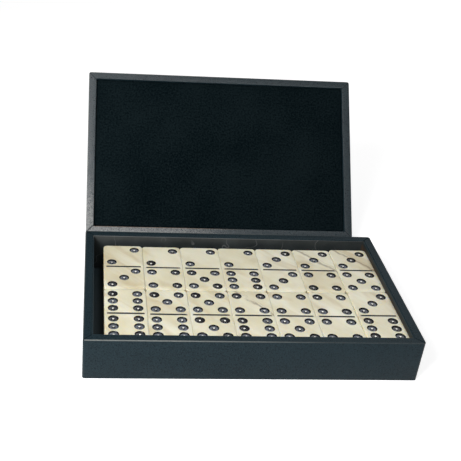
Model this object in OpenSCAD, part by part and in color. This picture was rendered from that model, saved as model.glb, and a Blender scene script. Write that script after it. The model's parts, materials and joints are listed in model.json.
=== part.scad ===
// Domino storage case with a full double-six set. A base tray and a shallow lid tray, both of board
// covered in leatherette, are joined book-wise by a stiff spine with a living hinge at each edge.
// The case is shown open: the spine lies flat behind the base and the lid stands leaning back.
// Millimetres. +Z up, +X right, +Y back; the origin is the centre of the base's underside.

/* [Dominoes] */
// Width of one domino
tile_w = 24.8; // [22:0.1:30]
// Length of one domino
tile_l = 49.8; // [44:0.1:60]
// Thickness of one domino
tile_t = 10; // [6:0.5:14]
// Radius of a domino's four upright corners
tile_corner_r = 3; // [1:0.5:5]
// Rounding of a domino's long and short edges
tile_edge_r = 0.8; // [0.4:0.1:2]
// Diameter of a pip at the face
pip_d = 6.1; // [4:0.1:6.5]
// Depth of a pip's dimple
pip_depth = 0.8; // [0.4:0.1:1.5]
// Distance between the pips of one half
pip_pitch = 7.3; // [6.6:0.1:8]
// Margin at each end of the line that parts the halves
divider_margin = 1.6; // [0.5:0.1:4]
// Width of that line
divider_w = 1.3; // [0.4:0.1:2]
// Depth of that line
divider_depth = 0.4; // [0.2:0.1:1]

/* [Tray] */
// Gap between dominoes that lie side by side
tile_gap = 0.2; // [0.1:0.1:1]
// Gap between the two layers
layer_gap = 0.1; // [0.05:0.05:0.5]
// Clearance of the dominoes at the right and the front wall
tile_clear = 0.2; // [0.1:0.1:1]
// Room left of the dominoes, to lift them out
room_left = 6.4; // [4.5:0.1:20]
// Room behind the dominoes
room_back = 6.1; // [4.5:0.1:20]
// Height of the rim above the top layer
headroom = 4.4; // [4.2:0.1:12]

/* [Boards and coverings] */
// Thickness of the wall boards
board_t = 4.3; // [2:0.1:6]
// Thickness of the base's bottom board
bottom_board_t = 1.5; // [1:0.1:4]
// Thickness of the lid's board
lid_board_t = 3; // [2:0.1:6]
// Thickness of the leatherette on the outside and the rims
skin_t = 0.5; // [0.3:0.1:1]
// Thickness of the leatherette where it is turned in
turn_in_t = 0.4; // [0.2:0.1:0.8]
// Thickness of the liners in the tray
liner_t = 0.5; // [0.3:0.1:1]
// Depth of the liners' top edge below the rim
liner_drop = 0.4; // [0.3:0.1:4]
// Thickness of the sheet under the base
underside_t = 0.5; // [0.3:0.1:1]
// Distance of that sheet from the base's outline
underside_inset = 3; // [1:0.5:10]
// Height of the turned leatherette above the table
skin_lift = 0.1; // [0.05:0.05:0.2]
// Rounding of the case's long edges
edge_r = 0.9; // [0.6:0.1:1.4]
// Radius of the case's upright corners
corner_r = 1.6; // [0.5:0.1:2.5]

/* [Lid lining] */
// Depth of the velvet below the lid's rim
velvet_recess = 1.5; // [0.5:0.1:4]
// Thickness of the velvet with its pile
velvet_t = 0.8; // [0.4:0.1:2]
// Thickness of the card that the velvet is stretched over
lining_card_t = 3.2; // [1:0.1:5]
// Clearance round the velvet panel
lining_clear = 0.3; // [0.1:0.1:1]

/* [Spine and hinges] */
// Thickness of the spine's board
spine_board_t = 1; // [0.5:0.1:3]
// Width by which the spine is shorter than the case at each side
spine_inset = 1; // [0.5:0.5:5]
// Gap between the closed spine and the base's back
spine_gap = 0.3; // [0.2:0.1:1]
// Gap between the closed lid's rim and the base's rim
rim_gap = 0.3; // [0.2:0.1:1]
// Radius of the fold in each hinge strip
fold_r = 0.5; // [0.3:0.1:0.8]
// Gap between a fold and the spine's edge
fold_gap = 0.2; // [0.1:0.1:0.5]
// Angle by which the open lid leans back from upright
lid_lean = 38.5; // [0:0.5:60]

/* [Hidden] */
$fn = 48;
// Overlap that keeps two cuts from leaving a film between them
eps = 0.01;
// Length by which a cut runs out past an open face
overshoot = 1;

// The ends of each domino from left to right, its back half first
TOP_BACK = [[2, 3], [2, 4], [2, 5], [2, 6], [3, 3], [3, 4], [3, 5]];
TOP_FRONT = [[6, 6], [5, 6], [5, 5], [4, 6], [4, 5], [4, 4], [3, 6]];
BOTTOM_BACK = [[0, 0], [0, 1], [0, 2], [0, 3], [0, 4], [0, 5], [0, 6]];
BOTTOM_FRONT = [[1, 1], [1, 2], [1, 3], [1, 4], [1, 5], [1, 6], [2, 2]];

// Depths into a wall, from its outer face
board_in = skin_t + board_t;
cover_in = board_in + turn_in_t;
wall_t = cover_in + liner_t;

// The base round its two layers of two rows
columns = len(TOP_BACK);
row_w = columns * tile_w + (columns - 1) * tile_gap;
rows_l = 2 * tile_l + tile_gap;
case_w = 2 * wall_t + room_left + row_w + tile_clear;
case_d = 2 * wall_t + tile_clear + rows_l + room_back;
floor_z = underside_t + bottom_board_t;
tray_z = floor_z + liner_t;
base_h = tray_z + 2 * tile_t + layer_gap + headroom;
liner_top = base_h - liner_drop;
block_x = -case_w / 2 + wall_t + room_left;
block_y = -case_d / 2 + wall_t + tile_clear;
layer_z = [tray_z, tray_z + tile_t + layer_gap];

// The lid's depth, built up from its outer face
card_z = skin_t + lid_board_t;
velvet_z = card_z + lining_card_t;
lid_h = velvet_z + velvet_t + velvet_recess;

// The spine and its two folds, as they lie open on the table
spine_t = 2 * skin_t + spine_board_t;
fold_z = fold_r + skin_lift;
fold_set = spine_gap + skin_lift + spine_t - fold_z;
spine_span = base_h + rim_gap + lid_h - 2 * fold_z;
lower_fold_y = case_d / 2 + fold_set;
upper_fold_y = lower_fold_y + spine_span;
spine_w = case_w - 2 * spine_inset;
spine_near = fold_r + fold_gap;
spine_l = spine_span - 2 * spine_near;

// A rectangle with round corners, centred
module round_rect(w, h, r) {
    square([w - 2 * r, h], center = true);
    square([w, h - 2 * r], center = true);
    for (x = [-1, 1], y = [-1, 1])
        translate([x * (w / 2 - r), y * (h / 2 - r)]) circle(r);
}

// A slab on the floor plane with upright corners of one radius and its other edges rounded
module round_slab(w, d, h, corner, edge) {
    intersection() {
        linear_extrude(h) round_rect(w, d, corner);
        translate([0, d / 2, h / 2]) rotate([90, 0, 0]) linear_extrude(d) round_rect(w, h, edge);
        translate([-w / 2, 0, h / 2]) rotate([90, 0, 90]) linear_extrude(w) round_rect(d, h, edge);
    }
}

// A block between two heights, inset from the case's outline all round
module inset_block(inset, low, high) {
    translate([-case_w / 2 + inset, -case_d / 2 + inset, low])
        cube([case_w - 2 * inset, case_d - 2 * inset, high - low]);
}

// One mitred wall board at the front of a tray that is span wide and across deep
module wall_board(span, across, low, high) {
    outer_x = span / 2 - skin_t;
    outer_y = -across / 2 + skin_t;
    translate([0, 0, low]) linear_extrude(high - low) polygon([
        [-outer_x, outer_y], [outer_x, outer_y],
        [outer_x - board_t, outer_y + board_t], [-outer_x + board_t, outer_y + board_t],
    ]);
}

// The four wall boards, named by their side
module tray_wall(side, low, high) {
    color("tan") {
        if (side == "front") wall_board(case_w, case_d, low, high);
        if (side == "back") rotate([0, 0, 180]) wall_board(case_w, case_d, low, high);
        if (side == "left") rotate([0, 0, -90]) wall_board(case_d, case_w, low, high);
        if (side == "right") rotate([0, 0, 90]) wall_board(case_d, case_w, low, high);
    }
}

// Leatherette glued over a tray's outside, over its rim and down the inside of its walls
module tray_skin(low, board_low, floor_low, high) {
    color([0.09, 0.12, 0.14]) difference() {
        translate([0, 0, low]) round_slab(case_w, case_d, high - low, corner_r, edge_r);
        difference() {
            inset_block(skin_t, board_low, high - skin_t);
            inset_block(board_in, floor_low, high);
        }
        inset_block(cover_in, floor_low, high + overshoot);
    }
}

// The base's skin is turned in under the boards, round the underside sheet
module base_wrap() {
    difference() {
        tray_skin(skin_lift, underside_t, floor_z, base_h);
        inset_block(underside_inset, 0, underside_t + eps);
    }
}

module base_bottom_board() {
    color("tan") inset_block(board_in, underside_t, floor_z);
}

// The sheet that closes the underside, on which the case stands
module base_underside_sheet() {
    color([0.1, 0.12, 0.13]) inset_block(underside_inset, 0, underside_t);
}

// A liner panel on the long front or back wall
module long_liner(side) {
    color([0.2, 0.22, 0.23])
        translate([-case_w / 2 + cover_in, side * (case_d / 2 - wall_t + liner_t / 2) - liner_t / 2, floor_z])
        cube([case_w - 2 * cover_in, liner_t, liner_top - floor_z]);
}

// A liner panel on the short left or right wall, between the long ones
module short_liner(side) {
    color([0.2, 0.22, 0.23])
        translate([side * (case_w / 2 - wall_t + liner_t / 2) - liner_t / 2, -case_d / 2 + wall_t, floor_z])
        cube([liner_t, case_d - 2 * wall_t, liner_top - floor_z]);
}

module base_floor_liner() {
    color([0.15, 0.17, 0.18]) inset_block(wall_t, floor_z, tray_z);
}

// A hinge strip: its fold lies along X at the origin and its flap reaches back to a case's edge
module hinge_strip() {
    color([0.09, 0.12, 0.14]) {
        rotate([90, 0, 90]) translate([0, 0, -spine_w / 2]) linear_extrude(spine_w) {
            circle(fold_r);
            translate([-fold_set, -fold_r]) square([fold_set, fold_r]);
        }
    }
}

module lower_hinge_strip() {
    translate([0, lower_fold_y, fold_z]) hinge_strip();
}

// Sets its children on the spine, whose near edge runs along X at the origin
module on_spine(height) {
    translate([0, lower_fold_y + spine_near, skin_lift + height]) children();
}

module spine_cover() {
    color([0.09, 0.12, 0.14]) on_spine(0) difference() {
        translate([-spine_w / 2, 0, 0]) cube([spine_w, spine_l, skin_t + spine_board_t]);
        translate([-spine_w / 2 + skin_t, skin_t, skin_t])
            cube([spine_w - 2 * skin_t, spine_l - 2 * skin_t, spine_board_t + overshoot]);
    }
}

module spine_board() {
    color("tan") on_spine(skin_t) translate([-spine_w / 2 + skin_t, skin_t, 0])
        cube([spine_w - 2 * skin_t, spine_l - 2 * skin_t, spine_board_t]);
}

module spine_lining() {
    color([0.2, 0.22, 0.23]) on_spine(skin_t + spine_board_t) translate([-spine_w / 2, 0, 0])
        cube([spine_w, spine_l, skin_t]);
}

// Carries a lid that lies flat on its outer face, centred at the origin, to where it stands open
module on_lid() {
    translate([0, upper_fold_y, fold_z]) rotate([90 - lid_lean, 0, 0])
        translate([0, fold_set + case_d / 2, -fold_z]) children();
}

module upper_hinge_strip() {
    on_lid() translate([0, -fold_set - case_d / 2, fold_z]) mirror([0, 1, 0]) hinge_strip();
}

module lid_wrap() {
    on_lid() tray_skin(0, skin_t, card_z, lid_h);
}

module lid_wall(side) {
    on_lid() tray_wall(side, skin_t, lid_h - skin_t);
}

module lid_top_board() {
    on_lid() color("tan") inset_block(board_in, skin_t, card_z);
}

module lid_lining_card() {
    on_lid() color("tan") inset_block(cover_in + lining_clear + velvet_t, card_z, velvet_z);
}

// Velvet stretched over the card and down its four sides
module lid_velvet() {
    on_lid() color([0.03, 0.05, 0.06]) difference() {
        inset_block(cover_in + lining_clear, card_z, velvet_z + velvet_t);
        inset_block(cover_in + lining_clear + velvet_t, card_z - overshoot, velvet_z);
    }
}

// Places of the pips of one half on a grid three wide and three long
function pip_places(count) = concat(
    count % 2 == 1 ? [[0, 0]] : [],
    count >= 2 ? [[1, 1], [-1, -1]] : [],
    count >= 4 ? [[1, -1], [-1, 1]] : [],
    count == 6 ? [[1, 0], [-1, 0]] : []
);

// A domino at the origin, face up, with one number on its back half and one on its front half
module domino(ends) {
    ball_r = (pip_d * pip_d / 4 + pip_depth * pip_depth) / (2 * pip_depth);
    color("ivory") difference() {
        round_slab(tile_w, tile_l, tile_t, tile_corner_r, tile_edge_r);
        for (half = [0, 1], place = pip_places(ends[half]))
            translate([
                place[0] * pip_pitch,
                (half == 0 ? 1 : -1) * tile_l / 4 + place[1] * pip_pitch,
                tile_t - pip_depth + ball_r,
            ]) sphere(ball_r);
        translate([-tile_w / 2 + divider_margin, -divider_w / 2, tile_t - divider_depth])
            cube([tile_w - 2 * divider_margin, divider_w, divider_depth + overshoot]);
    }
}

function domino_name(ends) = str("domino_", ends[0], "_", ends[1]);

// One row of dominoes in its layer: row 0 is the front one
module domino_row(row, layer, ends_list) {
    for (column = [0 : columns - 1]) {
        ends = ends_list[column];
        translate([
            block_x + tile_w / 2 + column * (tile_w + tile_gap),
            block_y + tile_l / 2 + row * (tile_l + tile_gap),
            layer_z[layer],
        ]) domino(ends);
    }
}

tray_wall("front", underside_t, base_h - skin_t);  // base_wall_front
tray_wall("back", underside_t, base_h - skin_t);  // base_wall_back
tray_wall("left", underside_t, base_h - skin_t);  // base_wall_left
tray_wall("right", underside_t, base_h - skin_t);  // base_wall_right
base_bottom_board();
base_underside_sheet();
base_wrap();
long_liner(-1);  // base_liner_front
long_liner(1);  // base_liner_back
short_liner(-1);  // base_liner_left
short_liner(1);  // base_liner_right
base_floor_liner();
lower_hinge_strip();
spine_board();
spine_cover();
spine_lining();
upper_hinge_strip();
lid_wall("front");  // lid_wall_front
lid_wall("back");  // lid_wall_back
lid_wall("left");  // lid_wall_left
lid_wall("right");  // lid_wall_right
lid_top_board();
lid_wrap();
lid_lining_card();
lid_velvet();
domino_row(1, 1, TOP_BACK);
domino_row(0, 1, TOP_FRONT);
domino_row(1, 0, BOTTOM_BACK);
domino_row(0, 0, BOTTOM_FRONT);
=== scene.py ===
# %% [markdown]
# A domino case, dressed
#
# The object is a book-style case: a tray and a shallow lid of board covered in black leatherette, joined by
# a stiff spine, with a full double-six set of ivory dominoes in the tray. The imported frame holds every
# piece at its real size. This lesson puts the looks over it: skins that are really thin, dominoes with
# drilled and painted pips, a velvet lining, and the finish of each.

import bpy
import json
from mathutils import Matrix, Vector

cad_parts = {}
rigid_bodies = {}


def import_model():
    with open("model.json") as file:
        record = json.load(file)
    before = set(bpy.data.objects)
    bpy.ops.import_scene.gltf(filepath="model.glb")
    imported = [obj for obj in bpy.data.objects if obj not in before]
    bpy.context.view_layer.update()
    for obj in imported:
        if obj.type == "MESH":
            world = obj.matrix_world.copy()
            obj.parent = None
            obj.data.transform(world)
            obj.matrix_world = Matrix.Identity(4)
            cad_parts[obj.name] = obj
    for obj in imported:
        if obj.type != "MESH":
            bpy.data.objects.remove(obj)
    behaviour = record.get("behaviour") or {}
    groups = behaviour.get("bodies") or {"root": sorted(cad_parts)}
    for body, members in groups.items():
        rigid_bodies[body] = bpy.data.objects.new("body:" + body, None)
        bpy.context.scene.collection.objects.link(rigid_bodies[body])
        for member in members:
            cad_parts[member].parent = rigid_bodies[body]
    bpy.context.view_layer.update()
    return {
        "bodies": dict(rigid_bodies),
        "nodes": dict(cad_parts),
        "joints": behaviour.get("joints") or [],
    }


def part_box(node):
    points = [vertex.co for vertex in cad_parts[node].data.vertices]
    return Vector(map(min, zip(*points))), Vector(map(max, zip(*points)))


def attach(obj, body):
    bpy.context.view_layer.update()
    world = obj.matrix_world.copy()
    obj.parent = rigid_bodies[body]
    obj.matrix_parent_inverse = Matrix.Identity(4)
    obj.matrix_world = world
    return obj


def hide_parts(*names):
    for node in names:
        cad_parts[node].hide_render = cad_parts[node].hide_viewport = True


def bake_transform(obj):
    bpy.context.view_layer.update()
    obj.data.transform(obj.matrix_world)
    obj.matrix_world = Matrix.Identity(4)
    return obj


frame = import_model()

# %% [markdown]
# The script works in metres, and MM turns the sizes that a maker gives in millimetres into them. Two places
# that lie nearer than TOUCH count as one.

# %% Modules that the cells use
import json
import math
import random

import bmesh
import bpy
from mathutils import Matrix, Vector

MM = 0.001
TOUCH = 0.01 * MM

# %% [markdown]
# The camera comes first, because it says what shows. A photograph of a box gives its own camera away: the
# corners of the base, the grid of the dominoes and the lid's corners fix the place, the direction and the
# lens. The picture is a crop, so its optical axis lies left of the middle, and the camera gets that shift.

# %% Camera
PICTURE_PX = 461
FOCAL_PX = 839.7
OPTICAL_AXIS_PX = (165.4, 239.8)
CAMERA_PLACE = Vector((-94.75, -423.1, 308.2)) * MM
CAMERA_YAW = math.radians(6.137)
CAMERA_PITCH = math.radians(-30.624)
CAMERA_ROLL = math.radians(4.376)


def look_from(place, yaw, pitch, roll):
    """The matrix of a camera that is turned right by yaw, up by pitch and about its own axis by roll."""
    forward = Vector((math.sin(yaw) * math.cos(pitch), math.cos(yaw) * math.cos(pitch), math.sin(pitch)))
    level = Vector((math.cos(yaw), -math.sin(yaw), 0))
    upright = level.cross(forward)
    right = level * math.cos(roll) + upright * math.sin(roll)
    up = upright * math.cos(roll) - level * math.sin(roll)
    return Matrix.Translation(place) @ Matrix((right, up, -forward)).transposed().to_4x4()


bpy.ops.object.camera_add()
camera = bpy.context.object
camera.name = "camera"
camera.matrix_world = look_from(CAMERA_PLACE, CAMERA_YAW, CAMERA_PITCH, CAMERA_ROLL)
camera.data.sensor_width = 36
camera.data.lens = FOCAL_PX * camera.data.sensor_width / PICTURE_PX
camera.data.shift_x = (PICTURE_PX / 2 - OPTICAL_AXIS_PX[0]) / PICTURE_PX
camera.data.shift_y = (OPTICAL_AXIS_PX[1] - PICTURE_PX / 2) / PICTURE_PX
camera.data.clip_start = 0.01
bpy.context.scene.camera = camera
bpy.context.scene.view_settings.view_transform = "Standard"
print("lens", round(camera.data.lens, 1), "mm")

# %% [markdown]
# A finish is a small program made of nodes. Placed by hand, its wires soon can't be read back, so one class
# wraps a socket here and lets Python's own signs write the maths: 1 - mask adds the node that subtracts.
# Any other node comes from its method add().


# %% The socket class
class Wire:
    """A socket in a material. Arithmetic on it adds Math nodes, and add() adds any other node."""

    def __init__(self, tree, socket=None):
        self.tree = tree
        self.socket = socket

    def add(self, kind, settings=None, sockets=None, output=0):
        """A new node of a kind: its settings first, then a value or a Wire for each of its sockets."""
        node = self.tree.nodes.new("ShaderNode" + kind)
        for name, value in (settings or {}).items():
            setattr(node, name, value)
        for name, value in (sockets or {}).items():
            if isinstance(value, Wire):
                self.tree.links.new(value.socket, node.inputs[name])
            else:
                node.inputs[name].default_value = value
        return Wire(self.tree, node.outputs[output])

    def math(self, operation, *values):
        """A Math node with an operation and its values."""
        return self.add("Math", {"operation": operation}, dict(enumerate(values)))

    def __add__(self, other):
        return self.math("ADD", self, other)

    def __sub__(self, other):
        return self.math("SUBTRACT", self, other)

    def __rsub__(self, other):
        return self.math("SUBTRACT", other, self)

    def __mul__(self, other):
        return self.math("MULTIPLY", self, other)

    def __abs__(self):
        return self.math("ABSOLUTE", self)

    def at_most(self, other):
        return self.math("MINIMUM", self, other)

    def at_least(self, other):
        return self.math("MAXIMUM", self, other)

    def root(self):
        return self.math("SQRT", self)

    def fade(self, start, end):
        """0 before start and 1 past end, with a smooth step between them; start may be above end."""
        return self.add(
            "MapRange", {"interpolation_type": "SMOOTHSTEP"}, {0: self, 1: start, 2: end, 3: 0.0, 4: 1.0}
        )

    def between(self, first, second):
        """A colour that goes from the first to the second as this value goes from 0 to 1."""
        colours = [c if isinstance(c, Wire) else (*c, 1) for c in (first, second)]
        return self.add("Mix", {"data_type": "RGBA"}, {0: self, 6: colours[0], 7: colours[1]}, output=2)

    __radd__ = __add__
    __rmul__ = __mul__


# %% [markdown]
# Most finishes share a few patterns: clouds, cells, and a bump that lies on top of another. They all read
# Object coordinates in metres, so a grain has the same size on every piece.


# %% Materials and their patterns
def new_finish(name):
    """A material, its Principled shader and a Wire to add nodes with."""
    material = bpy.data.materials.new(name)
    material.use_nodes = True
    return material, material.node_tree.nodes["Principled BSDF"], Wire(material.node_tree)


def connect(shader, **links):
    """Sets or links sockets of a shader, each named with _ for a space."""
    for name, value in links.items():
        socket = shader.inputs[name.replace("_", " ")]
        if isinstance(value, Wire):
            value.tree.links.new(value.socket, socket)
        else:
            socket.default_value = value


def place_on_piece(wire, centre=(0, 0, 0), turn_x=0.0):
    """Object coordinates, counted from a centre and turned back about X, as one vector."""
    coordinates = wire.add("TexCoord", output="Object")
    moved = wire.add("VectorMath", {"operation": "SUBTRACT"}, {0: coordinates, 1: centre})
    return wire.add("VectorRotate", {"rotation_type": "X_AXIS"}, {"Vector": moved, "Angle": -turn_x})


def split(vector):
    """The x, y and z of a vector, as three Wires."""
    return [vector.add("SeparateXYZ", sockets={0: vector}, output=axis) for axis in range(3)]


def clouds(vector, scale, detail=3.0, roughness=0.55, distortion=0.0):
    """Soft noise from 0 to 1, with about one patch per 1/scale metres."""
    sockets = {"Vector": vector, "Scale": scale, "Detail": detail, "Roughness": roughness}
    return vector.add("TexNoise", sockets={**sockets, "Distortion": distortion})


def cells(vector, scale, feature="F1"):
    """The distances in Voronoi cells that are about 1/scale metres wide."""
    return vector.add("TexVoronoi", {"feature": feature}, {"Vector": vector, "Scale": scale}, "Distance")


def bumped(height, strength, depth, below=None):
    """A normal from a height that runs from 0 to 1 over a depth in metres, on top of another normal."""
    sockets = {"Height": height, "Strength": strength, "Distance": depth}
    if below is not None:
        sockets["Normal"] = below
    return height.add("Bump", sockets=sockets)


# %% [markdown]
# The case stands on a pale floor in soft light. A white photograph could be had by pouring light on the
# floor, but that would wash out the ivory, so the floor only looks brighter to the camera and to mirrors:
# its material adds a little glow for those rays, and still takes the object's shadow.

# %% Floor and light
FLOOR_GLOW = 0.62
FLOOR_COLOUR = (0.86, 0.86, 0.86, 1)


def floor_finish():
    """White paper that looks a little brighter to the camera and in reflections than it is lit."""
    material, shader, wire = new_finish("studio_paper")
    grain = clouds(place_on_piece(wire), 300)
    connect(shader, Base_Color=FLOOR_COLOUR, Roughness=grain * 0.1 + 0.85)
    seen = wire.add("LightPath", output="Is Camera Ray")
    for kind in ("Is Glossy Ray", "Is Transmission Ray"):
        seen = seen.at_least(wire.add("LightPath", output=kind))
    glow = wire.add("Emission", sockets={"Color": (1, 1, 1, 1), "Strength": seen * FLOOR_GLOW})
    lit = Wire(wire.tree, shader.outputs[0])
    both = wire.add("AddShader", sockets={0: lit, 1: glow})
    output = wire.tree.nodes["Material Output"]
    wire.tree.links.new(both.socket, output.inputs["Surface"])
    return material


FLOOR_SIZE = 8
bpy.ops.object.select_all(action="DESELECT")
bpy.ops.mesh.primitive_plane_add(size=FLOOR_SIZE)
floor = bpy.context.object
floor.name = "studio_floor"
floor.data.materials.append(floor_finish())

SOFT_BOXES = {
    "main": {"place": (-0.35, -0.35, 0.4), "size": 0.25, "power": 3.8},
    "front": {"place": (-0.04, -0.75, 0.7), "size": 0.18, "power": 1.3},
    "fill": {"place": (0.5, 0.7, 1.0), "size": 0.8, "power": 3.6},
}
for name, box in SOFT_BOXES.items():
    bpy.ops.object.light_add(type="AREA", location=box["place"])
    lamp = bpy.context.object
    lamp.name = "soft_box_" + name
    lamp.rotation_euler = (-Vector(box["place"])).to_track_quat("-Z", "Y").to_euler()
    lamp.data.size = box["size"]
    lamp.data.energy = box["power"]

AMBIENT = 0.17
world = bpy.data.worlds.new("studio")
world.use_nodes = True
bpy.context.scene.world = world
sky = Wire(world.node_tree)
white_for_camera = sky.add("LightPath", output="Is Camera Ray")
background = world.node_tree.nodes["Background"]
background.inputs["Color"].default_value = (1, 1, 1, 1)
world.node_tree.links.new(
    white_for_camera.math("MULTIPLY_ADD", white_for_camera, 1 - AMBIENT, AMBIENT).socket,
    background.inputs["Strength"],
)
print("lamps", list(SOFT_BOXES))

# %% [markdown]
# Modelling helpers. A piece starts as a block between two corners, and is shaped with the same operators
# that a hand would use. An operator works on what is selected, so each step selects its faces or edges in
# code, by where they are and which way they face.


# %% Modelling helpers
def deselect():
    """Leaves edit mode and selects nothing."""
    if bpy.context.object and bpy.context.object.mode != "OBJECT":
        bpy.ops.object.mode_set(mode="OBJECT")
    bpy.ops.object.select_all(action="DESELECT")


def activate(piece):
    """Selects one piece alone and makes it active."""
    deselect()
    piece.select_set(True)
    bpy.context.view_layer.objects.active = piece


def apply_place(piece):
    """Moves a piece's place, turn and scale into its mesh."""
    activate(piece)
    bpy.ops.object.transform_apply(location=True, rotation=True, scale=True)


def add_block(name, low, high):
    """A block between two corners, as a new active piece."""
    deselect()
    low, high = Vector(low), Vector(high)
    bpy.ops.mesh.primitive_cube_add(size=1, location=(low + high) / 2, scale=high - low)
    piece = bpy.context.object
    piece.name = name
    apply_place(piece)
    return piece


def pick(piece, kind, test):
    """In edit mode, selects the faces or edges whose middle and direction pass a test."""
    bpy.ops.mesh.select_mode(type="FACE" if kind == "faces" else "EDGE")
    bpy.ops.mesh.select_all(action="DESELECT")
    cage = bmesh.from_edit_mesh(piece.data)
    for item in getattr(cage, kind):
        if kind == "faces":
            middle, direction = item.calc_center_median(), item.normal
        else:
            ends = [v.co for v in item.verts]
            middle, direction = (ends[0] + ends[1]) / 2, (ends[1] - ends[0]).normalized()
        if test(middle, direction):
            item.select_set(True)
    cage.select_flush_mode()
    bmesh.update_edit_mesh(piece.data)


def round_edges(piece, radius, segments, test):
    """Bevels the edges that pass a test."""
    pick(piece, "edges", test)
    bpy.ops.mesh.bevel(offset=radius, segments=segments, affect="EDGES", clamp_overlap=True)


def apply_modifier(piece, kind, **settings):
    """Adds a modifier with its settings and applies it."""
    activate(piece)
    modifier = piece.modifiers.new(kind.lower(), kind)
    for name, value in settings.items():
        setattr(modifier, name, value)
    bpy.ops.object.modifier_apply(modifier=modifier.name)


def smooth(piece, sharpest=30):
    """Smooth shading, but not across edges sharper than an angle in degrees."""
    activate(piece)
    bpy.ops.object.shade_smooth_by_angle(angle=math.radians(sharpest))


def dress(piece, body, slot, *materials, replaces=()):
    """Gives a finished piece its materials and its body, and hides the CAD nodes that it replaces. The slot
    is not used.
    """
    for material in materials:
        if material.name not in piece.data.materials:
            piece.data.materials.append(material)
    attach(piece, body)
    if replaces:
        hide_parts(*replaces)
    print(piece.name, len(piece.data.polygons), "faces")
    return piece


# %% [markdown]
# Sizes. The frame knows them all: the base's skin gives the case's outline, a liner the wall's thickness,
# and the lid's hinge joint the place and the lean of the lid. The lid is modelled lying flat on its outer
# face, centred at the origin, where up is up and front is front, and is then carried to where it stands.
# Its rim is a little wider at the sides than at the front and the back, as LID_COVER says.

# %% Sizes from the frame
base_low, base_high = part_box("base_wrap")
CASE_W = base_high.x - base_low.x
CASE_D = base_high.y - base_low.y
BASE_H = base_high.z
COVER_IN = base_high.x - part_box("base_liner_right")[1].x
FLOOR_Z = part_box("base_floor_liner")[0].z
joints = {joint["name"]: joint for joint in frame["joints"]}
SPINE_AXIS = Vector(joints["spine_hinge"]["pos_m"])
LID_AXIS = Vector(joints["lid_hinge"]["pos_m"])
LID_TURN = math.radians(joints["lid_hinge"]["range_deg"][1])
RIM_GAP = 0.3 * MM
LID_H = LID_AXIS.y - SPINE_AXIS.y + 2 * LID_AXIS.z - BASE_H - RIM_GAP
HINGE_SET = SPINE_AXIS.y - base_high.y
LID_MIDDLE = Vector((0, HINGE_SET + CASE_D / 2, -LID_AXIS.z))
LID_PLACE = (
    Matrix.Translation(LID_AXIS) @ Matrix.Rotation(LID_TURN, 4, "X") @ Matrix.Translation(LID_MIDDLE)
)
LID_COVER = (COVER_IN + 0.45 * MM, COVER_IN - 0.2 * MM)
print("case", round(CASE_W, 4), round(CASE_D, 4), round(BASE_H, 4), "lid", round(LID_H, 4))

# %% [markdown]
# Leatherette. The case is covered in embossed black plastic leather: small rounded pebbles with fine
# creases between them, a satin sheen, and edges a little paler. A flat black with a noise bump would look
# like rubber. Cells give the pebbles, a speckle breaks them up, and a pale line follows the box's real
# edges: partly wear, partly a painted highlight, which fades from left to right as the light does. The lid's
# rim has a painted glare at its lower left, a pale grey patch for the lamp's reflection, and the brown
# cloth under the plastic shows along the rim's raw inner edge.


# %% Leatherette
LEATHER_DEEP = (0.0034, 0.0096, 0.0136)
LEATHER_PALE = (0.0142, 0.0292, 0.037)
LEATHER_WEAR_AND_HIGHLIGHT = (0.2, 0.21, 0.2)
LEATHER_GLARE_GREY = (0.335, 0.335, 0.325)
LEATHER_RAW = (0.26, 0.13, 0.05)
PEBBLES_PER_M = 1150
SPECKLES_PER_M = 1000
GLARE_GRAIN_PER_M = 1300


def edge_distance(x, y, z, height):
    """The distance of a point on a tray of the case's outline to the nearest long edge of its rim."""
    to_side = (CASE_W / 2 - abs(x)).at_most(CASE_D / 2 - abs(y))
    return (to_side * to_side + (height - z) * (height - z)).root()


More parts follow.
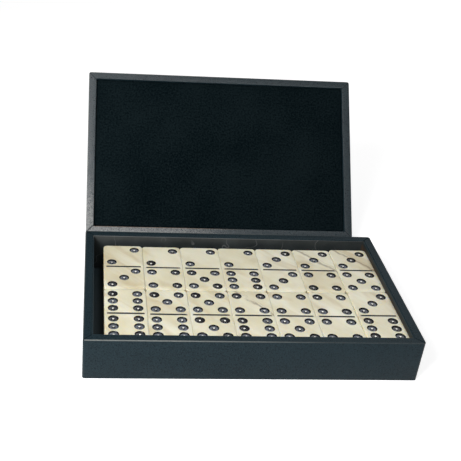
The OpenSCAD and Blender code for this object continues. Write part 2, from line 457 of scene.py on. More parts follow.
def leatherette(name, height, centre=(0, 0, 0), turn_x=0.0, mitred=False, gloss=0.12, painted_glare=0.0):
    """Pebbled leatherette for a tray of the case's outline and a height, as it lies flat on its outer face.

    A mitred one has grooves at the rim's corners. The last argument says how strong a painted glare of the
    lamp is at the lower left of a lid's rim, a pale grey patch.
    """
    material, shader, wire = new_finish(name)
    spot = place_on_piece(wire, centre, turn_x)
    x, y, z = split(spot)
    pebbles = cells(spot, PEBBLES_PER_M, "SMOOTH_F1")
    creases = cells(spot, PEBBLES_PER_M, "DISTANCE_TO_EDGE").fade(0.0, 0.14)
    fine = clouds(spot, 2600, 2)
    speckle = clouds(spot, SPECKLES_PER_M, 3, 0.8)
    broad = clouds(spot, 22, 4)
    grain = creases * 0.5 + (1 - pebbles) * 0.3 + fine * 0.2 + speckle * 0.8
    tone = (broad * 0.25 + speckle * 0.85 + creases * 0.2).fade(0.5, 0.82)
    colour = tone.between(LEATHER_DEEP, LEATHER_PALE)
    to_edge = edge_distance(x, y, z, height)
    scuffs = clouds(spot, 60, 6, 0.7).fade(0.42, 0.72) * clouds(spot, 900, 2).fade(0.3, 0.75)
    # Painted highlight: a pale line on the rim's edges, partly wear and partly light, brighter at the left.
    worn = to_edge.fade(0.65 * MM, 0.3 * MM) * (scuffs * 0.4 + 0.75) * (x.fade(0.06, -0.06) * 0.85 + 0.15)
    colour = worn.between(colour, LEATHER_WEAR_AND_HIGHLIGHT)
    rough = speckle.fade(0.3, 0.7) * 0.3 + 0.24
    # Painted glare: a pale grey patch at the lower left of the lid's rim stands for the lamp's reflection.
    if painted_glare:
        glare_area = x.fade(0.035, -0.035) * y.fade(0.005, -0.05)
        glare_grain = clouds(spot, GLARE_GRAIN_PER_M, 3, 0.8)
        rubbed = (glare_grain + (glare_area - 1) * 0.2).fade(0.3, 0.66)
        colour = (rubbed * (glare_area * 0.95 + 0.05) * painted_glare).between(colour, LEATHER_GLARE_GREY)
        rough = rough + (glare_grain - 0.5) * 0.35
        along = (CASE_W / 2 - LID_COVER[0] - abs(x)).fade(-0.2 * MM, 0.1 * MM) * x.fade(0.03, -0.03)
        raw_edge = (y + CASE_D / 2 - LID_COVER[1]).fade(-0.7 * MM, -0.3 * MM) * (0 - y).fade(0.03, 0.04)
        colour = (raw_edge * along * 0.85).between(colour, LEATHER_RAW)
    normal = bumped(grain, 0.5, 0.12 * MM)
    normal = bumped(clouds(spot, 45, 2), 0.35, 0.6 * MM, normal)
    if mitred:
        seam = abs((CASE_W / 2 - abs(x)) - (CASE_D / 2 - abs(y)))
        on_rim = (z - height).fade(-0.6 * MM, -0.3 * MM)
        groove = seam.fade(0.55 * MM, 0.2 * MM) * on_rim
        normal = bumped(1 - groove, 0.9, 0.25 * MM, normal)
        colour = (groove * 0.85).between(colour, LEATHER_DEEP)
        rough = rough + groove * 0.7
    connect(shader, Base_Color=colour, Roughness=rough, Normal=normal)
    connect(shader, Specular_IOR_Level=gloss)
    return material


base_leather = leatherette("base_leatherette", BASE_H, mitred=True)
lid_centre = LID_PLACE.translation
lid_leather = leatherette("lid_leatherette", LID_H, lid_centre, LID_TURN)
rim_leather = leatherette(
    "lid_rim_leatherette", LID_H, lid_centre, LID_TURN, mitred=True, gloss=0.82, painted_glare=0.62
)
print("leatherettes", base_leather.name, lid_leather.name, rim_leather.name)

# %% [markdown]
# The base's skin. On the real case one sheet is glued over the outside, folded over the rim and run down
# the inside of the walls, with its lower edge turned in under the boards. A solid block would do for the
# picture, but a skin is what it is: a block is opened above and below, its rim is rounded as board under
# leatherette is, and Solidify gives the sheet its thickness.

# %% Skin of a tray
SKIN_T = 0.42 * MM
RIM_OUTER_R = 0.9 * MM
RIM_INNER_R = 0.6 * MM
CORNER_R = 1.6 * MM
TURN_IN = 3.1 * MM


def tray_skin(name, low, high, floor_z, cover, open_below):
    """A sheet over a tray's outside, its rim and the insides of its walls; cover says how wide the rim is."""
    skin = add_block(name, low, high)
    bpy.ops.object.mode_set(mode="EDIT")
    pick(skin, "faces", lambda middle, normal: normal.z > 0.9)
    bpy.ops.mesh.inset(thickness=COVER_IN)
    room = Vector((high.x - cover[0], high.y - cover[1]))
    bpy.ops.transform.resize(value=(room.x / (high.x - COVER_IN), room.y / (high.y - COVER_IN), 1))
    bpy.ops.mesh.extrude_region_move(TRANSFORM_OT_translate={"value": (0, 0, floor_z - high.z)})
    bpy.ops.mesh.delete(type="ONLY_FACE")
    if open_below:
        pick(skin, "faces", lambda middle, normal: normal.z < -0.9 and middle.z < low.z + MM)
        bpy.ops.mesh.inset(thickness=TURN_IN)
        bpy.ops.mesh.delete(type="ONLY_FACE")
    outside = lambda p: abs(p.x) > high.x - 0.1 * MM or abs(p.y) > high.y - 0.1 * MM
    round_edges(skin, CORNER_R, 6, lambda p, d: abs(d.z) > 0.9 and outside(p))
    on_top = lambda p: p.z > high.z - TOUCH
    at_rim = lambda p: max(abs(p.x) - high.x, abs(p.y) - high.y) > -CORNER_R * 0.8
    level = lambda d: abs(d.z) < 0.1
    diagonal = lambda d: 0.5 < abs(d.x) < 0.9 and abs(d.z) < 0.01
    round_edges(skin, RIM_OUTER_R, 4, lambda p, d: on_top(p) and level(d) and at_rim(p))
    inner = lambda p: max(abs(p.x) - room.x, abs(p.y) - room.y) < 0.05 * MM
    round_edges(skin, RIM_INNER_R, 3, lambda p, d: on_top(p) and level(d) and inner(p) and not diagonal(d))
    foot = lambda p: p.z < low.z + TOUCH
    round_edges(skin, RIM_OUTER_R, 4, lambda p, d: foot(p) and level(d) and at_rim(p))
    bpy.ops.object.mode_set(mode="OBJECT")
    apply_modifier(skin, "SOLIDIFY", thickness=SKIN_T, offset=-1)
    smooth(skin)
    return skin


base_skin = tray_skin("base_skin", base_low, base_high, FLOOR_Z, (COVER_IN, COVER_IN), open_below=True)
dress(base_skin, "base", "leatherette", base_leather, replaces=["base_wrap"])

# %% [markdown]
# The lid's skin is the same tray, only shallow and closed on its outer face. It is made lying flat, by the
# same function, and then carried to its place.

# %% Skin of the lid
lid_half = Vector((CASE_W / 2, CASE_D / 2, 0))
CARD_DEPTH = 5.5 * MM
CARD_Z = LID_H - CARD_DEPTH


def stand_lid(piece):
    """Carries a piece that was made on the flat lid to where the lid stands open."""
    piece.matrix_world = LID_PLACE
    apply_place(piece)
    return piece


lid_top = lid_half + Vector((0, 0, LID_H))
lid_skin = tray_skin("lid_skin", -lid_half, lid_top, CARD_Z, LID_COVER, open_below=False)
for leather in (lid_leather, rim_leather):
    lid_skin.data.materials.append(leather)
activate(lid_skin)
bpy.ops.object.mode_set(mode="EDIT")
pick(lid_skin, "faces", lambda p, n: n.z > 0.9 and p.z > LID_H - 0.2 * MM)
lid_skin.active_material_index = 1
bpy.ops.object.material_slot_assign()
bpy.ops.object.mode_set(mode="OBJECT")
dress(stand_lid(lid_skin), "lid", "leatherette", replaces=["lid_wrap"])

# %% [markdown]
# The dominoes. A real one is cast or sawn from ivory-coloured resin, tumbled until its edges are round,
# drilled for the pips and filled with black paint. The drill has a short spur in its middle, so each pip is
# a dish with a small point left standing, which the wiping cloth rubs bare. Painting round spots on a block
# would look printed, so the pips are drilled here too, with a cutter of the drill's own shape.

# %% Sizes of a domino
tile_low, tile_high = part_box("domino_2_3")
TILE = tile_high - tile_low
TILE_CORNER_R = 2.4 * MM
TILE_EDGE_R = 0.4 * MM
TILE_FLAT_RIM = 0.3 * MM
TILE_GROWTH = 0.09 * MM
PIP_PITCH = 7.3 * MM
PIP_RINGS = (
    (3.05, 0.22), (2.75, 0.55), (2.2, 0.8), (1.5, 0.92), (1.0, 0.88), (0.75, 0.6), (0.62, 0.2), (0.4, 0.08)
)
PIP_SIDES = 24
TIP_R = 0.7 * MM
DIVIDER = Vector((21.6, 1.45, 0.4)) * MM
print("domino", [round(v, 4) for v in TILE])


# %% Blank, drill and groove cutter
def domino_blank():
    """A domino before it is drilled. A narrow rim of faces keeps the shading of its flats flat."""
    blank = add_block("domino_blank", -TILE / 2, TILE / 2)
    bpy.ops.object.mode_set(mode="EDIT")
    round_edges(blank, TILE_CORNER_R, 7, lambda p, d: abs(d.z) > 0.9)
    round_edges(blank, TILE_EDGE_R, 5, lambda p, d: abs(p.z) > TILE.z / 2 - TOUCH)
    pick(blank, "faces", lambda p, n: abs(n.z) > 0.999)
    bpy.ops.mesh.inset(thickness=TILE_FLAT_RIM)
    bpy.ops.object.mode_set(mode="OBJECT")
    return blank


def pip_drill():
    """The drill of one pip, with the domino's face at z = 0: a dish with a spur mark in its middle."""
    deselect()
    (radius, depth), *rings = [(r * MM, d * MM) for r, d in PIP_RINGS]
    above = 1 * MM
    bpy.ops.mesh.primitive_cylinder_add(
        vertices=PIP_SIDES, radius=radius, depth=above + depth, location=(0, 0, (above - depth) / 2)
    )
    drill = bpy.context.object
    drill.name = "pip_drill"
    apply_place(drill)
    bpy.ops.object.mode_set(mode="EDIT")
    pick(drill, "faces", lambda p, n: n.z < -0.9)
    for next_radius, next_depth in rings:
        bpy.ops.mesh.inset(thickness=radius - next_radius)
        bpy.ops.transform.translate(value=(0, 0, depth - next_depth))
        radius, depth = next_radius, next_depth
    for material in (pip_paint, pip_tip):
        drill.data.materials.append(material)
    pick(drill, "faces", lambda p, n: p.z > -0.4 * MM and Vector((p.x, p.y)).length < TIP_R and p.z < 0)
    drill.active_material_index = 1
    bpy.ops.object.material_slot_assign()
    bpy.ops.object.mode_set(mode="OBJECT")
    return drill


def groove_cutter():
    """The cutter of the line across the middle, with the domino's face at z = 0."""
    half = Vector((DIVIDER.x / 2, DIVIDER.y / 2, 0))
    cutter = add_block("groove_cutter", -half - Vector((0, 0, DIVIDER.z)), half + Vector((0, 0, MM)))
    bpy.ops.object.mode_set(mode="EDIT")
    round_edges(cutter, 0.3 * MM, 3, lambda p, d: p.z < -DIVIDER.z + TOUCH and abs(d.x) > 0.9)
    round_edges(cutter, 0.35 * MM, 3, lambda p, d: abs(d.z) > 0.9)
    bpy.ops.object.mode_set(mode="OBJECT")
    cutter.data.materials.append(line_paint)
    return cutter


# %% [markdown]
# Ivory-coloured resin isn't one cream. It has milky clouds drawn out slantwise, a few brown veins, a
# warmer, darker tone at the rounded edges, painted shade of the seams between dominoes, and light goes a
# little way into it. Every domino has the same material, and an attribute in its mesh says where its middle
# is, so that the pattern differs from one to the next and the painted edge shade follows each outline.
# Another says where its vein runs. The sides are browner, painted shade of the gaps in the tray, and the
# front end of the face falls off a little.


# %% Ivory
IVORY_MILKY = (0.825, 0.8, 0.66)
IVORY_WARM = (0.69, 0.64, 0.455)
IVORY_SMOKY = (0.56, 0.46, 0.28)
IVORY_VEIN = (0.17, 0.11, 0.055)
IVORY_EDGE_SHADE = (0.55, 0.45, 0.27)
IVORY_SIDE_SHADE = (0.3, 0.2, 0.08)
PATTERN_STEP = (13, 17, 29)
CLOUD_LEAN = math.radians(50)
VEIN_LEAN = math.radians(40)
DOME_L = 4.5 * MM
DOME_R = 13 * MM


def attribute(wire, name, output="Fac"):
    """A value that is stored in the mesh."""
    return wire.add("Attribute", {"attribute_name": name}, output=output)


def from_middle(wire):
    """Object coordinates counted from the domino's own middle."""
    sockets = {0: wire.add("TexCoord", output="Object"), 1: attribute(wire, "domino_centre", "Vector")}
    return wire.add("VectorMath", {"operation": "SUBTRACT"}, sockets)


def ivory_finish():
    """Milky resin with slanting clouds, a vein where the mesh says, sides and edges darkened as painted
    shade, and a domed front end.
    """
    material, shader, wire = new_finish("ivory_resin")
    centre = attribute(wire, "domino_centre", "Vector")
    local = from_middle(wire)
    own = wire.add("VectorMath", {"operation": "MULTIPLY_ADD"}, {0: centre, 1: PATTERN_STEP, 2: local})
    x, y, z = split(local)
    slant = wire.add("VectorRotate", {"rotation_type": "Z_AXIS"}, {"Vector": own, "Angle": CLOUD_LEAN})
    drawn = wire.add("VectorMath", {"operation": "MULTIPLY"}, {0: slant, 1: (0.35, 1, 1)})
    milky = clouds(drawn, 75, 5, 0.6, 0.6)
    deep = clouds(own, 28, 3)
    tone = (milky * 0.7 + deep * 0.5).fade(0.35, 0.78)
    colour = tone.between(IVORY_MILKY, IVORY_WARM)
    wander = (clouds(own, 95, 4) - 0.5) * (6 * MM)
    across = x * math.cos(VEIN_LEAN) + y * math.sin(VEIN_LEAN) + wander - attribute(wire, "vein_place")
    patchy = clouds(own, 130, 3).fade(0.3, 0.5)
    vein = abs(across).fade(1.5 * MM, 0.1 * MM) * patchy
    thread = abs(across - 2.2 * MM).fade(0.5 * MM, 0.05 * MM) * patchy
    smoky = clouds(drawn, 52, 3, 0.5, 0.9).fade(0.52, 0.68) * 0.6
    colour = smoky.between(colour, IVORY_SMOKY)
    colour = (vein * 0.6 + thread * 0.2).between(colour, IVORY_VEIN)
    to_side = (TILE.x / 2 - abs(x)).at_most(TILE.y / 2 - abs(y))
    # Painted shade: the rounded edges are darkened warm, for the seams between dominoes.
    rim = to_side.fade(1.5 * MM, 0.1 * MM)
    colour = (rim * 0.06).between(colour, IVORY_EDGE_SHADE)
    # Painted shade: the sides turn brown, for the shaded gaps between dominoes.
    below = z.fade(TILE.z / 2 - 0.5 * MM, TILE.z / 2 - 1.2 * MM)
    colour = (below * 0.45).between(colour, IVORY_SIDE_SHADE)
    scratched = clouds(own, 700, 3, 0.7)
    past = (0 - y - (TILE.y / 2 - DOME_L)).at_least(0.0)
    normal = bumped(past * past * (-0.5 / DOME_R), 1.0, 1.0)
    normal = bumped(clouds(own, 110, 2), 0.25, 0.25 * MM, normal)
    normal = bumped(scratched, 0.12, 0.03 * MM, normal)
    connect(shader, Base_Color=colour, Roughness=scratched * 0.16 + 0.27, Normal=normal)
    connect(shader, Subsurface_Weight=0.6, Subsurface_Radius=(1.0, 0.8, 0.5), Subsurface_Scale=2.5 * MM)
    return material


ivory = ivory_finish()

# %% [markdown]
# The pips' paint is black and glossy at the rim and round the point, and greyer in the dish: a painted
# reflection, a grey-blue ring for the light in the glossy hollow. The distance from the pip's middle is
# stored in the mesh, with a number that says how strong this pip's ring is. A point without paint is painted
# whiter than the resin, as a highlight. The line across the middle has the same paint, worn at its ends.

# %% Paint of the pips and the line
PAINT_BLACK = (0.008, 0.008, 0.009)
# Painted reflection: the grey-blue of the ring in a pip's glossy dish.
PAINT_REFLECTION_GREY = (0.115, 0.13, 0.16)
# Painted highlight: a point without paint is whiter than the resin.
TIP_HIGHLIGHT_WHITE = (0.93, 0.92, 0.86)
LINE_BLACK = (0.012, 0.013, 0.015)
LINE_WORN = (0.3, 0.27, 0.2)


def pip_finish():
    """Black paint with a grey ring in the dish, a painted reflection."""
    material, shader, wire = new_finish("pip_paint")
    from_pip = attribute(wire, "from_pip")
    spot = wire.add("TexCoord", output="Object")
    ring = from_pip.fade(0.75 * MM, 1.35 * MM) * from_pip.fade(2.65 * MM, 1.95 * MM)
    patchy = clouds(spot, 650, 3)
    ring_reflection = ring * attribute(wire, "pip_dust") * (patchy + 0.45)
    colour = ring_reflection.between(PAINT_BLACK, PAINT_REFLECTION_GREY)
    connect(shader, Base_Color=colour, Roughness=ring_reflection * 0.25 + 0.22, Normal=bumped(patchy, 0.2, 0.05 * MM))
    return material


def tip_finish():
    """The point in a pip's middle: paint, or resin that the cloth has rubbed clean, painted whiter as a
    highlight.
    """
    material, shader, wire = new_finish("pip_tip")
    rubbed = clouds(wire.add("TexCoord", output="Object"), 900, 2)
    bare_and_highlit = attribute(wire, "tip_bare") * (rubbed + 0.6).at_most(1.0)
    connect(shader, Base_Color=bare_and_highlit.between(PAINT_BLACK, TIP_HIGHLIGHT_WHITE), Roughness=rubbed * 0.2 + 0.15)
    return material


def line_finish():
    """The paint of the line, worn in patches and at its ends."""
    material, shader, wire = new_finish("line_paint")
    spot = wire.add("TexCoord", output="Object")
    x, y, z = split(from_middle(wire))
    patchy = clouds(spot, 420, 4, 0.65)
    near_end = abs(x).fade(8.6 * MM, 10.8 * MM)
    worn = (patchy + near_end * 0.16).fade(0.62, 0.8)
    connect(shader, Base_Color=worn.between(LINE_BLACK, LINE_WORN), Roughness=patchy * 0.3 + 0.25)
    connect(shader, Normal=bumped(patchy, 0.3, 0.05 * MM))
    return material


pip_paint = pip_finish()
pip_tip = tip_finish()
line_paint = line_finish()

# %% [markdown]
# One domino after another is cut from a copy of the blank. The drill is copied to each spot of the two
# numbers and joined with the groove cutter, so that one Boolean does the whole face, and its transfer mode
# takes the paint from the cutters' faces. A finished domino grows by TILE_GROWTH, so that its neighbours
# close up as pushed dominoes do, and a few stand proud of the rest by the millimetres in RAISED.

# %% Numbers and their spots
PIP_SPOTS = {0: [], 1: [(0, 0)], 2: [(1, 1), (-1, -1)]}
PIP_SPOTS[3] = PIP_SPOTS[2] + PIP_SPOTS[1]
PIP_SPOTS[4] = PIP_SPOTS[2] + [(1, -1), (-1, 1)]
PIP_SPOTS[5] = PIP_SPOTS[4] + PIP_SPOTS[1]
PIP_SPOTS[6] = PIP_SPOTS[4] + [(1, 0), (-1, 0)]


def pip_places(back, front):
    """The places of a domino's pips round its middle, for the number on its back and on its front half."""
    halves = ((back, TILE.y / 4), (front, -TILE.y / 4))
    return [(i * PIP_PITCH, y + j * PIP_PITCH) for number, y in halves for i, j in PIP_SPOTS[number]]


def copy_of(piece, name, place=(0, 0, 0)):
    """A copy of a piece with its own mesh, moved to a place."""
    twin = piece.copy()
    twin.data = piece.data.copy()
    twin.name = name
    twin.location = place
    bpy.context.collection.objects.link(twin)
    return twin


# %% Dominoes
# How strong each pip's painted reflection ring is.
PIP_RING_REFLECTION = (0.05, 0.3, 0.7, 1.0, 1.0)
# How often a pip's point is without paint, with a painted highlight.
TIP_BARE_HIGHLIT = (0.6, 1.0, 1.0, 1.0, 1.0, 1.0)
VEINS = {"domino_3_4": 8.5, "domino_3_5": 9.5, "domino_4_6": 10.0}
NO_VEIN = 100.0
RAISED = {"domino_3_5": 0.6, "domino_3_6": 1.0, "domino_2_3": 0.4, "domino_6_6": 0.4}
rng = random.Random(28)


def cut_domino(name, blank, drill, groove):
    """The finished domino of a CAD node, at the node's place."""
    low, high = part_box(name)
    middle = (low + high) / 2
    back, front = (int(number) for number in name.split("_")[1:])
    spots = pip_places(back, front)
    piece = copy_of(blank, name.replace("domino", "tile"))
    tools = [copy_of(drill, "tool", (x, y, TILE.z / 2)) for x, y in spots]
    tools.append(copy_of(groove, "tool", (0, 0, TILE.z / 2)))
    deselect()
    for tool in tools:
        tool.select_set(True)
    bpy.context.view_layer.objects.active = tools[0]
    bpy.ops.object.join()
    joined = bpy.context.object
    apply_place(joined)
    cut = {"object": joined, "operation": "DIFFERENCE", "solver": "EXACT", "material_mode": "TRANSFER"}
    apply_modifier(piece, "BOOLEAN", **cut)
    bpy.data.objects.remove(joined)
    smooth(piece, 24)
    piece.scale = (1 + 2 * TILE_GROWTH / TILE.x, 1 + 2 * TILE_GROWTH / TILE.y, 1)
    store_pattern(piece, middle, spots, VEINS.get(name, NO_VEIN) * MM)
    piece.location = middle + Vector((0, 0, RAISED.get(name, 0) * MM))
    apply_place(piece)
    return piece


def store_pattern(piece, middle, spots, vein):
    """Stores what the materials read: the domino's middle, its vein, and the distance to the next pip."""
    mesh = piece.data
    ring_reflection = [rng.choice(PIP_RING_REFLECTION) for _ in spots]
    bare_and_highlit = [rng.choice(TIP_BARE_HIGHLIT) for _ in spots]
    from_pip, painted_light, tips = [], [], []
    for vertex in mesh.vertices:
        reach = [math.dist(spot, vertex.co[:2]) for spot in spots] or [1.0]
        nearest = reach.index(min(reach))
        from_pip.append(min(reach))
        painted_light.append(ring_reflection[nearest] if spots else 0.0)
        tips.append(bare_and_highlit[nearest] if spots else 0.0)
    count = len(mesh.vertices)
    for name, kind, values in (
        ("domino_centre", "FLOAT_VECTOR", list(middle) * count),
        ("vein_place", "FLOAT", [vein] * count),
        ("from_pip", "FLOAT", from_pip),
        ("pip_dust", "FLOAT", painted_light),
        ("tip_bare", "FLOAT", tips),
    ):
        stored = mesh.attributes.new(name, kind, "POINT")
        stored.data.foreach_set("vector" if kind == "FLOAT_VECTOR" else "value", values)


blank, drill, groove = domino_blank(), pip_drill(), groove_cutter()
blank.data.materials.append(ivory)
domino_names = sorted(name for name in frame["nodes"] if name.startswith("domino_"))
for name in domino_names:
    tile = cut_domino(name, blank, drill, groove)
    body = tile.name if tile.name in frame["bodies"] else "base"
    dress(tile, body, "ivory_resin", replaces=[name])
for tool in (blank, drill, groove):
    bpy.data.objects.remove(tool)
print(len(domino_names), "dominoes")

# %% [markdown]
# The tray is lined with thin black card, one panel to a side, cut by hand. The back one catches the light
# on its raw upper edge, a painted highlight brightest at the left, and is painted paler below it, painted
# light that fades downwards and to the right. The left one is painted lighter, painted light in its shaded
# gap, and the right one is browned near the dominoes. Thin scratches show as pale lines: they are the
# contour lines of a soft noise, which wander as a real scratch does.

# %% Liner card
LINER_DEEP = (0.0095, 0.0132, 0.0146)
LINER_PALE = (0.026, 0.0325, 0.0335)
LINER_EDGE = (0.1, 0.105, 0.105)
LINER_BROWN = (0.05, 0.032, 0.019)
LINER_LIT_GREY = (0.085, 0.088, 0.085)
LINER_PAINTED_FILL = (0.05, 0.075, 0.088)
LINER_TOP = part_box("base_liner_back")[1].z
BACK_PANEL_Y = (50 * MM, 52.5 * MM)
RIGHT_PANEL_X = (89.5 * MM, 90.5 * MM)
PAINTED_FILL_X = (-83 * MM, -89.5 * MM)


def liner_finish():
    """Black card: painted light and scratches at the back, painted light at the left, browned at the right.
    """
    material, shader, wire = new_finish("liner_card")
    spot = place_on_piece(wire)
    x, y, z = split(spot)
    soft = clouds(spot, 60, 4)
    fine = clouds(spot, 1500, 2)
    tone = (soft * 0.8 + fine * 0.3).fade(0.3, 0.85)
    colour = tone.between(LINER_DEEP, LINER_PALE)
    low_part = z.fade(LINER_TOP - 1.2 * MM, LINER_TOP - 3.4 * MM)
    at_right = x.fade(*RIGHT_PANEL_X)
    colour = (low_part * at_right * 0.85).between(colour, LINER_BROWN)
    # Painted light: the back panel is paler near its top and towards the left.
    at_back = y.fade(*BACK_PANEL_Y)
    high_up = z.fade(LINER_TOP - 7 * MM, LINER_TOP)
    painted_light = high_up * (x.fade(0.1, -0.1) * 0.75 + 0.25) * (soft + 0.3) * at_back
    colour = (painted_light * 0.45).between(colour, LINER_LIT_GREY)
    # Painted light: lighter at the left, in the shaded gap beside the dominoes.
    colour = (x.fade(*PAINTED_FILL_X) * (1 - at_back)).between(colour, LINER_PAINTED_FILL)
    cut_edge = z.fade(LINER_TOP - 0.35 * MM, LINER_TOP - 0.1 * MM)
    colour = (cut_edge * (1 - at_back)).between(colour, LEATHER_PALE)
    scratch = abs(clouds(spot, 85, 1) - 0.53).fade(0.014, 0.003) * clouds(spot, 34, 2).fade(0.44, 0.56)
    # Painted highlight: the back panel's raw upper edge is pale, brightest at the left.
    bare_and_highlit = cut_edge * (soft + 0.3) * (x.fade(0.09, -0.03) * 0.75 + 0.25)
    colour = ((scratch * 0.8 + bare_and_highlit * 1.4) * at_back).at_most(1.0).between(colour, LINER_EDGE)
    normal = bumped(clouds(spot, 30, 3), 0.5, 0.8 * MM)
    normal = bumped(fine, 0.2, 0.04 * MM, normal)
    connect(shader, Base_Color=colour, Roughness=soft * 0.2 + 0.38, Normal=normal, Specular_IOR_Level=0.3)
    return material


# %% Liner panels
liner_card = liner_finish()


def liner_panel(node):
    """A card panel of the tray: thin, with its upper edge a little rounded by the knife."""
    low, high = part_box(node)
    panel = add_block(node.replace("base_", ""), low, high)
    bpy.ops.object.mode_set(mode="EDIT")
    round_edges(panel, 0.15 * MM, 2, lambda p, d: p.z > high.z - TOUCH and abs(d.z) < 0.1)
    bpy.ops.object.mode_set(mode="OBJECT")
    smooth(panel)
    return dress(panel, "base", "tray_liner", liner_card, replaces=[node])


for side in ("front", "back", "left", "right"):
    liner_panel("base_liner_" + side)

# %% [markdown]
# The lid's lining is velvet stretched over a card and glued down its sides, so it is a shallow cap with a
# soft edge. Short black pile swallows nearly all light. It needs no strong highlight, only a faint sheen,
# the slight shading of pile that lies in different directions, and the few pale specks of lint that velvet
# always picks up.

# %% Velvet
VELVET_DEEP = (0.0004, 0.003, 0.0044)
VELVET_PALE = (0.0068, 0.0128, 0.015)
VELVET_LINT = (0.12, 0.13, 0.14)
VELVET_SHEEN = (0.5, 0.75, 0.85, 1)


def velvet_finish():
    """Short black pile, brushed this way and that, with a few specks of lint."""
    material, shader, wire = new_finish("lid_velvet_pile")
    spot = place_on_piece(wire, lid_centre, LID_TURN)
    pile = clouds(spot, 800, 4, 0.8)
    brushed = clouds(spot, 26, 3)
    tone = (pile * 0.85 + brushed * 0.2).fade(0.42, 0.62)
    colour = tone.between(VELVET_DEEP, VELVET_PALE)
    far = cells(spot, 62)
    lint = far.fade(0.022, 0.008) * clouds(spot, 21, 0).fade(0.54, 0.6)
    colour = lint.between(colour, VELVET_LINT)
    normal = bumped(pile, 0.8, 0.35 * MM)
    connect(shader, Base_Color=colour, Roughness=brushed * 0.1 + 0.88, Normal=normal)
    connect(shader, Specular_IOR_Level=0.03)
    connect(shader, Sheen_Weight=0.015, Sheen_Roughness=0.4, Sheen_Tint=VELVET_SHEEN)
    return material


velvet = velvet_finish()
VELVET_CLEAR = 0.15 * MM
VELVET_T = 0.8 * MM
VELVET_DEPTH = 1.5 * MM
VELVET_CORNER_R = 1.5 * MM
VELVET_EDGE_R = 0.9 * MM
VELVET_Z = LID_H - VELVET_DEPTH
velvet_half = lid_half - Vector((LID_COVER[0] + VELVET_CLEAR, LID_COVER[1] + VELVET_CLEAR, 0))
cap = add_block("velvet_cap", -velvet_half + Vector((0, 0, CARD_Z)), velvet_half + Vector((0, 0, VELVET_Z)))
bpy.ops.object.mode_set(mode="EDIT")
round_edges(cap, VELVET_CORNER_R, 4, lambda p, d: abs(d.z) > 0.9)
round_edges(cap, VELVET_EDGE_R, 4, lambda p, d: p.z > VELVET_Z - TOUCH and abs(d.z) < 0.1)
pick(cap, "faces", lambda p, n: n.z < -0.9)
bpy.ops.mesh.delete(type="ONLY_FACE")
bpy.ops.object.mode_set(mode="OBJECT")
apply_modifier(cap, "SOLIDIFY", thickness=VELVET_T, offset=-1)
smooth(cap)
dress(stand_lid(cap), "lid", "velvet", velvet, replaces=["lid_velvet"])

# %% [markdown]
# The spine is a strip of stiff board between two leatherettes. The outer one wraps its edges, and the inner
# one is a separate strip laid on. On each side of it the leatherette alone is the hinge: a strip of the
# sheet, flat at the base and turned up to the lid's lean at the lid, as the case stands here. The spine has
# no rim to wear, so its leatherette is given a rim far above it.

# %% Spine
NO_RIM = 1.0
SPINE_EDGE_T = 0.45 * MM
spine_leather = leatherette("spine_leatherette", NO_RIM)


def spine_sheet(name, node, open_top):
    """A sheet of the spine with rounded corners; the outer one is a shallow tray for the board."""
    low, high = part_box(node)
    sheet = add_block(name, low, high)
    bpy.ops.object.mode_set(mode="EDIT")
    if open_top:
        pick(sheet, "faces", lambda p, n: n.z > 0.9)
        bpy.ops.mesh.inset(thickness=SPINE_EDGE_T)
        bpy.ops.transform.translate(value=(0, 0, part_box("spine_board")[0].z - high.z))
    outer = lambda p: p.x < low.x + 0.1 * MM or p.x > high.x - 0.1 * MM
    round_edges(sheet, 0.8 * MM, 4, lambda p, d: abs(d.z) > 0.9 and outer(p))
    rounded_z = low.z if open_top else high.z
    round_edges(sheet, 0.3 * MM, 3, lambda p, d: abs(p.z - rounded_z) < TOUCH and abs(d.z) < 0.1)
    bpy.ops.object.mode_set(mode="OBJECT")
    smooth(sheet)
    return dress(sheet, "spine", "leatherette", spine_leather, replaces=[node])


spine_sheet("spine_outer_skin", "spine_cover", True)
spine_sheet("spine_inner_skin", "spine_lining", False)

# %% Hinge folds
FOLD_T = 0.35 * MM
FOLD_Z = 0.1 * MM
FOLD_HALF_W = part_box("lower_hinge_strip")[1].x


def hinge_fold(name, axis, start_y, end_y, turn, run, node):
    """A strip of leatherette: it starts flat under one part, turns up about the hinge's axis and runs on."""
    deselect()
    middle = (0, (start_y + end_y) / 2, FOLD_Z)
    bpy.ops.mesh.primitive_grid_add(x_subdivisions=1, y_subdivisions=10, size=1, location=middle)
    fold = bpy.context.object
    fold.name = name
    fold.scale = (2 * FOLD_HALF_W, end_y - start_y, 1)
    apply_place(fold)
    bpy.ops.object.mode_set(mode="EDIT")
    if turn:
        pick(fold, "edges", lambda p, d: p.y > end_y - 0.001 * MM and abs(d.x) > 0.9)
        bpy.ops.mesh.spin(steps=8, angle=-turn, center=axis, axis=(-1, 0, 0))
        along = Vector((0, math.cos(turn), math.sin(turn))) * run
        bpy.ops.mesh.extrude_region_move(TRANSFORM_OT_translate={"value": along})
    bpy.ops.mesh.select_all(action="SELECT")
    bpy.ops.mesh.normals_make_consistent(inside=False)
    bpy.ops.object.mode_set(mode="OBJECT")
    low_face = fold.data.polygons[0].normal
    if low_face.z > 0:
        fold.data.flip_normals()
    apply_modifier(fold, "SOLIDIFY", thickness=FOLD_T, offset=-1)
    smooth(fold, 60)
    fold.data.materials.append(spine_leather)
    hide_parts(node)
    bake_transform(fold)
    print(name, len(fold.data.polygons), "faces")
    return fold


hinge_fold(
    "lower_fold", SPINE_AXIS, base_high.y - 0.2 * MM, SPINE_AXIS.y + 0.9 * MM, 0, 0,
    "lower_hinge_strip",
)
hinge_fold(
    "upper_fold", LID_AXIS, LID_AXIS.y - 0.9 * MM, LID_AXIS.y, LID_TURN, 1.6 * MM,
    "upper_hinge_strip",
)

# %% [markdown]
# What is left are the boards, whose CAD shape is already right, and two flat sheets. Greyboard is pressed
# from waste paper: it is mottled, with short fibres. The underside sheet is a thinner leatherette, rubbed
# dull where the case stands on it.


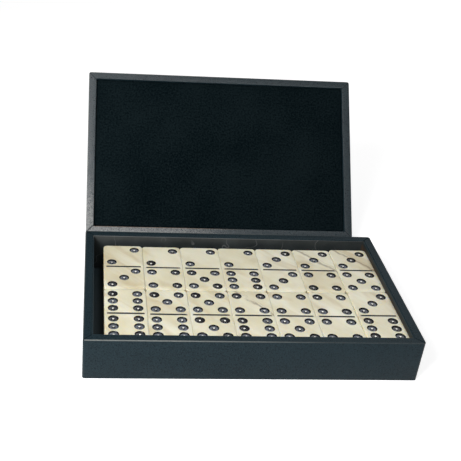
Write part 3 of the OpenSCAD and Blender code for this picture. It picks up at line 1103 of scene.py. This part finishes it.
# %% Greyboard and underside
BOARD_DARK = (0.2, 0.18, 0.15)
BOARD_PALE = (0.36, 0.33, 0.28)
UNDERSIDE_RUBBED = (0.045, 0.052, 0.054)


def greyboard_finish():
    """Mottled board with short fibres that lie one way."""
    material, shader, wire = new_finish("greyboard")
    spot = place_on_piece(wire)
    stretched = wire.add("VectorMath", {"operation": "MULTIPLY"}, {0: spot, 1: (1, 0.25, 1)})
    fibres = clouds(stretched, 1400, 4, 0.7)
    mottled = clouds(spot, 120, 3)
    colour = (fibres * 0.6 + mottled * 0.5).fade(0.3, 0.8).between(BOARD_DARK, BOARD_PALE)
    connect(shader, Base_Color=colour, Roughness=mottled * 0.1 + 0.82)
    connect(shader, Normal=bumped(fibres, 0.4, 0.08 * MM))
    return material


def underside_finish():
    """Thin creased leatherette, rubbed dull in patches."""
    material, shader, wire = new_finish("underside_leatherette")
    spot = place_on_piece(wire)
    creases = cells(spot, 900, "DISTANCE_TO_EDGE").fade(0.0, 0.16)
    rubbed = clouds(spot, 35, 5, 0.65)
    tone = (rubbed * 0.9 + creases * 0.15).fade(0.45, 0.95)
    colour = tone.between(LEATHER_DEEP, UNDERSIDE_RUBBED)
    connect(shader, Base_Color=colour, Roughness=rubbed * 0.25 + 0.5, Specular_IOR_Level=0.2)
    connect(shader, Normal=bumped(creases, 0.4, 0.08 * MM))
    return material


def recoat(nodes, material):
    """Gives CAD nodes a better material in place of their own."""
    for name in nodes:
        for slot in frame["nodes"][name].material_slots:
            slot.material = material


board_nodes = [name for name in frame["nodes"] if "board" in name or "_wall_" in name or "card" in name]
recoat(board_nodes, greyboard_finish())
print(len(board_nodes), "boards")


# %% Sheets on the underside and on the tray's floor
def flat_sheet(name, node, corner_r, edge_r, material, slot):
    """A flat sheet in place of a CAD one, with round corners and a soft lower edge."""
    low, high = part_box(node)
    sheet = add_block(name, low, high)
    bpy.ops.object.mode_set(mode="EDIT")
    round_edges(sheet, corner_r, 5, lambda p, d: abs(d.z) > 0.9)
    round_edges(sheet, edge_r, 3, lambda p, d: p.z < low.z + TOUCH and abs(d.z) < 0.1)
    bpy.ops.object.mode_set(mode="OBJECT")
    smooth(sheet)
    return dress(sheet, "base", slot, material, replaces=[node])


flat_sheet("underside_sheet", "base_underside_sheet", 2.5 * MM, 0.2 * MM, underside_finish(), "leatherette")
flat_sheet("floor_liner", "base_floor_liner", 0.6 * MM, 0.1 * MM, liner_card, "tray_liner")
